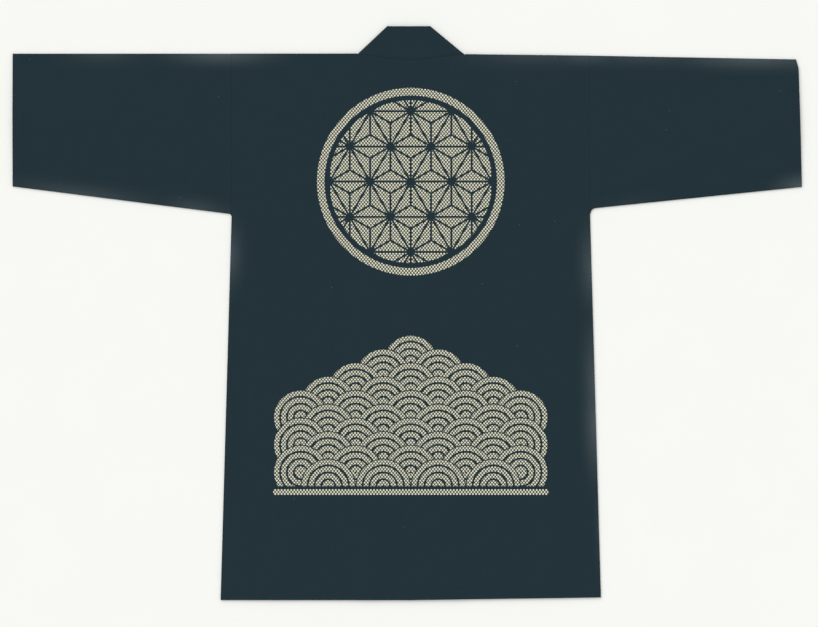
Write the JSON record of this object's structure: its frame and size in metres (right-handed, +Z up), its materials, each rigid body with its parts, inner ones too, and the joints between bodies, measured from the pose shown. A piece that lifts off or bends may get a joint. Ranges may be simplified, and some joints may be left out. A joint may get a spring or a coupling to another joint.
{
  "type": "happi coat",
  "caption": "Happi coat of plain-weave cotton laid flat with its back up: straight body, short straight sleeves and a doubled collar band that runs round the neck and down the open front.",
  "frame": {"origin": "on the surface the coat lies on, below the middle of its whole outline", "axes": "+Z up off the surface, out of the back; +Y from the hem towards the collar; +X towards the sleeve on the right as the back is looked at, the wearer's right"},
  "size_m": [1.263, 0.9186, 0.0051],
  "materials": {
    "indigo_cotton": "plain-weave cotton dyed deep navy, matt",
    "printed_cotton": "the same navy cotton with a stippled cream print, matt"
  },
  "bodies": {
    "root": {"back": "printed_cotton", "front_left": "indigo_cotton", "front_right": "indigo_cotton", "sleeve_left": "indigo_cotton", "sleeve_right": "indigo_cotton", "collar": "indigo_cotton"}
  },
  "joints": []
}
